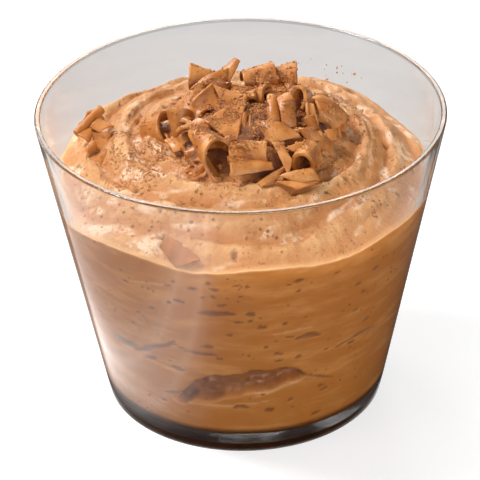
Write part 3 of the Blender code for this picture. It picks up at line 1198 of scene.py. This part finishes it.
@dataclass
class CurlHeap:
    """The heap of milk-chocolate curls in the middle: big ones listed, small ones strewn."""

    mousse: Mousse
    strewn: int = 70
    seed: int = 21
    core_middle: tuple[float, float] = HEAP_MIDDLE
    core_radii: tuple[float, float] = (17.5, 17.5)
    core_height: float = 6.2

    def strew(self) -> list[Sheet]:
        """Small curls and shards strewn over the heap, most of them at its back and between the big ones.

        Returns:
            The sheets.
        """
        rng = random.Random(self.seed)
        sheets: list[Sheet] = []
        while len(sheets) < self.strewn:
            turn = rng.uniform(-math.pi, math.pi)
            reach = math.sqrt(rng.uniform(0.0, 1.0))
            x = self.core_middle[0] + 18.0 * reach * math.cos(turn)
            y = self.core_middle[1] + 18.5 * reach * math.sin(turn)
            at_back = y > 4.0
            if not at_back and (rng.random() < 0.6 or reach < 0.55):
                continue
            top = self.core_surface(x * MM, y * MM) / MM
            lift = rng.uniform(0.1, 1.3) if at_back else rng.uniform(-0.6, 0.3)
            length = rng.uniform(3.0, 6.0) if at_back else rng.uniform(1.8, 3.6)
            spin = rng.uniform(0, math.tau)
            ahead = Vector((math.cos(spin), math.sin(spin), rng.uniform(-0.25, 0.5))) * length
            start = Vector((x, y, top + lift))
            if rng.random() < 0.45:
                mouth = start + ahead
                mouth.z = min(mouth.z, 72.2)
                sizes = (rng.uniform(0.3, 0.9), rng.uniform(1.0, 1.9))
                arcs = (rng.uniform(-170, -100), rng.uniform(40, 150))
                roll = Roll(tuple(start), tuple(mouth), *sizes, *arcs, rows=8, columns=12, thickness=0.6)
                sheets.append(roll)
                continue
            across = Vector((-ahead.y, ahead.x, rng.uniform(-1.5, 1.5))) * rng.uniform(0.25, 0.6)
            end = start + ahead
            corners = [start - across, start + across, end + across * 0.4, end - across * 0.5]
            for corner in corners:
                corner.z = min(corner.z, 74.0)
            belly = rng.uniform(-0.8, 0.9)
            sheets.append(Leaf(*(tuple(p) for p in corners), belly, rows=7, columns=8, thickness=0.6))
        return sheets

    def core_surface(self, x: float, y: float) -> float:
        """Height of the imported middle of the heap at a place.

        Args:
            x: the place, to the right.
            y: the place, to the back.

        Returns:
            The height above the foot.
        """
        dx = (x / MM - self.core_middle[0]) / self.core_radii[0]
        dy = (y / MM - self.core_middle[1]) / self.core_radii[1]
        share = min(1.0, dx * dx + dy * dy)
        lumps = 0.5 * MM * rough(Vector((x, y, 0.0)), 3 * MM)
        rise = self.core_height * MM * (1 - share) ** 0.8 - 1.6 * MM * share**4
        return self.mousse.surface(x, y) + rise + lumps

    def build(self, finish: Material) -> None:
        """Builds the core and its curls.

        Args:
            finish: the chocolate.
        """
        under = [(i / 12, -1.0) for i in range(13)]
        over = [(1 - i / 30, 0.0) for i in range(1, 31)]
        core = turned(under + over, 96)
        for vert in core.verts:
            x = (self.core_middle[0] + vert.co.x * self.core_radii[0]) * MM
            y = (self.core_middle[1] + vert.co.y * self.core_radii[1]) * MM
            top = self.core_surface(x, y)
            vert.co = Vector((x, y, top if vert.co.z > -0.5 else self.mousse.surface(x, y) - 2.5 * MM))
        # Painted shade: the core is made much darker than the curls, to stand in for the shade between them.
        light, dark = (0.36, 0.125, 0.032), (0.16, 0.045, 0.010)
        shaded_core = ChocolateFinish("shaded_core_chocolate", light, dark, 0.6, relief=0.8)
        add_piece("heap_core", core, shaded_core.make(), ("curl_heap",))
        build_sheets("heap_leaves", HEAP_LEAVES, finish, ("curl_heap",))
        build_sheets("heap_rolls", HEAP_ROLLS, finish, ("curl_heap",))
        build_sheets("heap_shards", self.strew(), finish, ("curl_heap",))


@dataclass
class CurlCluster:
    """The small group of curls by the rim at the left."""

    def build(self, finish: Material) -> None:
        """Builds the curls.

        Args:
            finish: the chocolate.
        """
        build_sheets("cluster_curls", GROUP_CURLS, finish, ("curl_cluster",))


@dataclass
class WallShaving:
    """The flat shaving that leans on the glass at the front left."""

    def build(self, finish: Material) -> None:
        """Builds the shaving.

        Args:
            finish: the chocolate.
        """
        sheet = Leaf(
            (-17.2, -34.9, 56.5),
            (-15.8, -33.7, 58.4),
            (-8.8, -37.7, 54.6),
            (-13.6, -37.2, 52.6),
            belly=0.4,
            thickness=0.7,
        )
        build_sheets("leaning_shaving", [sheet], finish, ("wall_shaving",))


# Where grains fall: the share of them up to this row, then the middle and width of the drift across and in
# depth, in mm.
DRIFTS = (
    (0.35, 5.0, 9.0, 2.0, 8.0),
    (0.72, -4.0, 11.0, -13.0, 6.5),
    (0.82, -24.0, 6.0, -4.0, 8.0),
    (0.90, 22.0, 5.0, 4.0, 8.0),
    (1.00, 0.0, 20.0, 0.0, 20.0),
)


@dataclass
class CocoaGrains:
    """Fine grated chocolate strewn over the curls and the mousse. The grains' sizes are in mm."""

    tumbler: Tumbler
    name: str = "cocoa_grains"
    count: int = 15000
    seed: int = 5
    least: float = 0.06
    most: float = 0.19
    spread: float = 1.0
    on_glass: int = 0
    reach: float = 38.5
    highest: float = 74.2 * MM
    steepest: float = 0.1
    drift: float = 6.0

    def spot(self, rng: random.Random) -> tuple[float, float]:
        """A place in plan, in mm, where a grain falls.

        Args:
            rng: the source of chance.

        Returns:
            The place, to the right and to the back.
        """
        kind = rng.random() * self.spread
        for up_to, across, wide, back, deep in DRIFTS:
            if kind < up_to:
                break
        return rng.gauss(across, wide), rng.gauss(back, deep)

    def ground(self) -> BVHTree:
        """What is already built, for grains to land on.

        Returns:
            A search tree of its faces.
        """
        bm = bmesh.new()
        for name in ("mousse_body", "heap_core", "heap_leaves", "heap_rolls", "heap_shards", "cluster_curls"):
            bm.from_mesh(bpy.data.objects[name].data)
        tree = BVHTree.FromBMesh(bm)
        bm.free()
        return tree

    def stuck(self, rng: random.Random) -> tuple[Vector, Vector]:
        """A place on the back of the tumbler's inner wall, and the direction away from the wall.

        Args:
            rng: the source of chance.

        Returns:
            The place and the direction.
        """
        turn, height = math.radians(rng.gauss(148, 5)), rng.uniform(57.5, 62.5) * MM
        out = Vector((math.sin(turn), -math.cos(turn), 0))
        return out * (self.tumbler.inner(height) - 0.12 * MM) + Vector((0, 0, height)), -out

    def lands(self, rng: random.Random, hit: Vector | None, normal: Vector | None) -> bool:
        """Whether a grain stays where it fell: on what isn't steep or too high, and mostly in the drifts.

        Args:
            rng: the source of chance.
            hit: where it fell, if it hit anything.
            normal: the direction away from there.

        Returns:
            True if it stays.
        """
        if hit is None or hit.z > self.highest or normal.z < self.steepest:
            return False
        return rng.random() <= smooth_step(-0.25, 0.35, rough(hit, self.drift * MM))

    def grain(self, rng: random.Random, batch: bmesh.types.BMesh, place: Vector, normal: Vector) -> None:
        """Adds one chipped grain to a batch.

        Args:
            rng: the source of its size and shape.
            batch: the mesh it joins.
            place: what it rests on.
            normal: the direction away from there.
        """
        size = (self.least + (self.most - self.least) * rng.random() ** 2.2) * MM
        turn = rng.uniform(0, math.tau)
        axis = Vector((rng.random(), rng.random(), 0.3)).normalized()
        shape = Matrix.Diagonal((1.0, rng.uniform(0.5, 1.0), rng.uniform(0.4, 0.8), 1.0))
        matrix = Matrix.Translation(place + normal * size * 0.25) @ Matrix.Rotation(turn, 4, axis) @ shape
        for vert in bmesh.ops.create_cube(batch, size=1.5 * size, matrix=matrix)["verts"]:
            jitter = Vector((rng.uniform(-1, 1), rng.uniform(-1, 1), rng.uniform(-1, 1)))
            vert.co += jitter * 0.5 * size

    def build(self, finish: Material) -> None:
        """Drops the grains from above on what is already built.

        Args:
            finish: the chocolate.
        """
        rng = random.Random(self.seed)
        tree = self.ground()
        grains = bmesh.new()
        batch = bmesh.new()
        placed = 0
        while placed < self.count:
            x, y = self.spot(rng)
            if math.hypot(x, y) > self.reach:
                continue
            place, normal, _, _ = tree.ray_cast(Vector((x * MM, y * MM, DROP_HEIGHT)), Vector((0, 0, -1)))
            if placed < self.on_glass:
                place, normal = self.stuck(rng)
            elif not self.lands(rng, place, normal):
                continue
            self.grain(rng, batch, place, normal)
            placed += 1
            if placed % BATCH == 0:
                mesh = bpy.data.meshes.new("grains")
                batch.to_mesh(mesh)
                grains.from_mesh(mesh)
                bpy.data.meshes.remove(mesh)
                batch.free()
                batch = bmesh.new()
        batch.free()
        add_piece(self.name, grains, finish, ("curl_heap",), sharp=20.0)


# ---------------------------------------------------------------- stage


@dataclass(frozen=True)
class TableFinish:
    """A table that shows plain white and is of uneven brightness to what the glass mirrors and shows, which
    paints reflections on the glass and a shadow under and round the foot.

    Places are measured from the middle of the foot.
    """

    shown: float = 0.69
    on_matt: float = 0.50
    shade: Colour = (0.5, 0.5, 0.5)
    bounced_shade: Colour = (0.06, 0.06, 0.06)
    clear_of_foot: Span = (0.031, 0.055)
    far: Span = (0.50, 0.24)
    behind_across: Span = (-0.12, 0.0, 0.54, 0.67)
    behind_deep: Span = (-0.03, 0.02, 0.2, 1.0)
    side: Span = (-0.085, 0.020, 1.05, 0.03)
    strip_left: Span = (-0.060, -0.040)
    strip_right: Span = (-0.010, -0.040, 0.0, 2.3)
    bar_scale: float = 42.0
    bars: Span = (0.4, 0.62, 0.75, 1.25)
    near_foot: Span = (0.031, 0.040)
    grazed_lean: float = 1.5
    grazed: Span = (-0.0605, -0.0485, 1.0, 0.12)
    ring_inside: Span = (0.0285, 0.0295)
    ring_outside: Span = (0.0325, 0.0308)

    def mirrored(self, tree: Tree, across: Socket, deep: Socket, away: Socket) -> Socket:
        """Brightness of what the glass mirrors: bright at the left, with a strip, bars and a ring.

        Args:
            tree: the material's node tree.
            across: the place to the right.
            deep: the place to the back.
            away: the distance from the foot's middle.

        Returns:
            The brightness.
        """
        strip = tree.math(
            "MULTIPLY", tree.span(across, *self.strip_left), tree.span(across, *self.strip_right)
        )
        bright = tree.math("ADD", tree.span(across, *self.side), strip)
        drawn_out = tree.add("Mapping", {"Vector": tree.place(), "Scale": (1.0, 0.0, 0.0)}).outputs[0]
        bars = tree.span(tree.noise(drawn_out, self.bar_scale, 3.0), *self.bars)
        bright = tree.math("MULTIPLY", bright, bars)
        grazed = tree.span(tree.math("MULTIPLY_ADD", across, self.grazed_lean, deep), *self.grazed)
        beside = tree.math("MULTIPLY", bright, tree.span(away, *self.near_foot))
        ring = tree.math("MULTIPLY", tree.span(away, *self.ring_inside), tree.span(away, *self.ring_outside))
        return tree.math("ADD", tree.math("MULTIPLY", beside, grazed), ring)

    def make(self) -> Material:
        """Builds the material.

        Returns:
            The table's material.
        """
        material, tree = new_material("white_table")
        across, deep, _ = tree.add("SeparateXYZ", {0: tree.place()}).outputs
        away = tree.add("VectorMath", {0: tree.place()}, operation="LENGTH").outputs["Value"]
        rays = tree.add("LightPath").outputs
        seen, through = rays["Is Camera Ray"], rays["Is Transmission Ray"]
        behind = tree.span(across, *self.behind_across)
        behind = tree.math("MULTIPLY", behind, tree.span(deep, *self.behind_deep))
        glow = tree.math("MULTIPLY", through, behind)
        glow = tree.math("MULTIPLY_ADD", rays["Is Diffuse Ray"], self.on_matt, glow)
        # Painted shadow: under and round the foot the table gives no glow to what the glass shows, nor to
        # light bouncing up to the mousse.
        fade = tree.math("MULTIPLY", tree.span(away, *self.clear_of_foot), tree.span(away, *self.far))
        # Painted reflections: what the glass mirrors glows brighter at the left, with bars and a ring by the
        # foot.
        only_mirrored = tree.math("SUBTRACT", rays["Is Glossy Ray"], through)
        only_mirrored = tree.math("MAXIMUM", only_mirrored, 0.0)
        mirrored = tree.math("MULTIPLY", only_mirrored, self.mirrored(tree, across, deep, away))
        glow = tree.math("ADD", tree.math("MULTIPLY", glow, fade), mirrored)
        glow = tree.math("MULTIPLY_ADD", seen, self.shown, glow)
        matt = tree.add("BsdfDiffuse", {"Color": tree.blend(seen, self.bounced_shade, self.shade)})
        lit = tree.add("Emission", {"Color": (1, 1, 1, 1), "Strength": glow})
        tree.finish(tree.add("AddShader", {0: matt.outputs[0], 1: lit.outputs[0]}).outputs[0])
        return material


@dataclass
class Studio:
    """The white table, the soft lamps and the camera."""

    elevation: float = 30.69
    distance: float = 0.720
    lens: float = 241.7
    roll: float = -1.1
    shift: tuple[float, float] = (-0.0065, 0.0140)
    aim: float = 34.7 * MM
    floor_drop: float = 0.05 * MM
    table_reach: float = 3.0
    surroundings: Colour = (0.95, 0.97, 1.0)
    surroundings_strength: float = 0.22
    bounces: tuple[int, int, int] = (24, 16, 20)

    def camera(self) -> None:
        """Places the camera in front, looking down a little."""
        data = bpy.data.cameras.new("camera")
        data.lens = self.lens
        data.shift_x, data.shift_y = self.shift
        data.clip_start, data.clip_end = 0.05, 20.0
        obj = bpy.data.objects.new("camera", data)
        tilt = math.radians(self.elevation)
        back = Vector((0.0, -math.cos(tilt), math.sin(tilt)))
        turn = (-back).to_track_quat("-Z", "Y").to_matrix().to_4x4()
        place = Matrix.Translation(Vector((0, 0, self.aim)) + back * self.distance)
        obj.matrix_world = place @ turn @ Matrix.Rotation(math.radians(self.roll), 4, "Z")
        bpy.context.scene.collection.objects.link(obj)
        bpy.context.scene.camera = obj

    def table(self) -> None:
        """Lays the table."""
        bm = bmesh.new()
        bmesh.ops.create_grid(bm, x_segments=2, y_segments=2, size=self.table_reach)
        bmesh.ops.translate(bm, verts=bm.verts, vec=(0, 0, -self.floor_drop))
        mesh = bpy.data.meshes.new("table")
        bm.to_mesh(mesh)
        bm.free()
        mesh.materials.append(TableFinish().make())
        floor = bpy.data.objects.new("table", mesh)
        bpy.context.scene.collection.objects.link(floor)

    def lamp(self, name: str, place: Vector, size: float, power: float, colour: Colour = (1, 1, 1)) -> None:
        """Hangs a square softbox that faces the tumbler.

        Args:
            name: the lamp's name.
            place: where it hangs.
            size: the length of its side.
            power: its power in watts.
            colour: its colour.
        """
        data = bpy.data.lights.new(name, "AREA")
        data.shape = "SQUARE"
        data.size = size
        data.energy = power
        data.color = colour
        obj = bpy.data.objects.new(name, data)
        aim = Vector((0, 0, self.aim)) - place
        obj.matrix_world = Matrix.Translation(place) @ aim.to_track_quat("-Z", "Y").to_matrix().to_4x4()
        bpy.context.scene.collection.objects.link(obj)

    def light(self) -> None:
        """Hangs the lamps and sets the surroundings."""
        self.lamp("key", Vector((-0.52, 0.12, 0.85)), 0.26, 9.3)
        self.lamp("back", Vector((-0.70, 0.95, 0.60)), 0.45, 4.0)
        self.lamp("rim", Vector((0.0, 1.05, 0.64)), 0.35, 2.5)
        self.lamp("side", Vector((-0.90, -0.35, 0.45)), 0.40, 1.2)
        self.lamp("fill", Vector((0.45, -1.15, 0.36)), 0.80, 7.0)
        world = bpy.data.worlds.new("studio")
        world.use_nodes = True
        tree = Tree(world.node_tree)
        inputs = {"Color": (*self.surroundings, 1.0), "Strength": self.surroundings_strength}
        back = tree.add("Background", inputs)
        tree.add("OutputWorld", {"Surface": back.outputs[0]})
        bpy.context.scene.world = world
        scene = bpy.context.scene
        scene.view_settings.view_transform = "Standard"
        cycles = scene.cycles
        cycles.max_bounces, cycles.glossy_bounces, cycles.transmission_bounces = self.bounces

    def build(self) -> None:
        """Sets up the whole studio."""
        self.camera()
        self.table()
        self.light()


def main() -> None:
    """Builds every piece and the studio."""
    logging.basicConfig(level=logging.INFO, format="%(message)s")
    noise.seed_set(RIPPLE_SEED)
    tumbler = Tumbler()
    tumbler.build(GlassFinish())
    mousse = Mousse(tumbler)
    mousse.build(MousseFinish())
    chocolate = ChocolateFinish().make()
    CurlHeap(mousse).build(chocolate)
    CurlCluster().build(chocolate)
    # Painted shade: the leaning shaving gets a darker chocolate, for the shade on its face.
    shaded_shaving = ChocolateFinish("shaded_shaving_chocolate", (0.56, 0.22, 0.075), (0.42, 0.145, 0.036), 0.45, dusting=0.0)
    WallShaving().build(shaded_shaving.make())
    grated = ChocolateFinish("grated_chocolate", (0.64, 0.28, 0.09), (0.40, 0.140, 0.036), 0.6).make()
    CocoaGrains(tumbler).build(grated)
    CocoaGrains(tumbler, "chocolate_crumbs", 1400, 11, 0.16, 0.40, 0.5, on_glass=16).build(grated)
    Studio().build()


if __name__ == "__main__":
    main()
